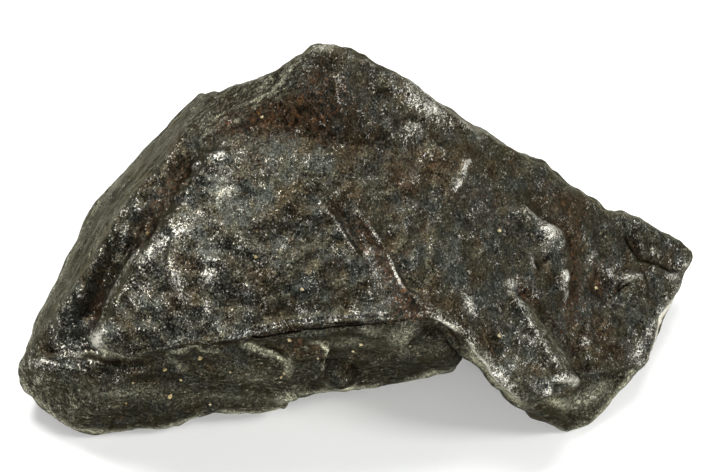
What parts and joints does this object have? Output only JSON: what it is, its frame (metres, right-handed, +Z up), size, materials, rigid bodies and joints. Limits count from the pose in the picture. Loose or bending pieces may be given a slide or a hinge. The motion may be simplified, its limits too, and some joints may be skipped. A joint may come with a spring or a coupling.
{
  "type": "iron meteorite",
  "caption": "Torn fragment of dark weathered iron: a low wedge with one broad sloping face, an overhanging front edge and a thin lip at one end, resting on a small flat spot.",
  "frame": {"origin": "on the surface that the fragment rests on, under the middle of its bounding box", "axes": "+X along the length towards the thin lip, +Y away from the overhanging front, +Z up"},
  "size_m": [0.0489, 0.0288, 0.017],
  "materials": {
    "iron": "dark weathered iron with worn bright edges, fine sparkle and rust-brown hollows"
  },
  "bodies": {
    "root": {"meteorite": "iron"}
  },
  "joints": []
}
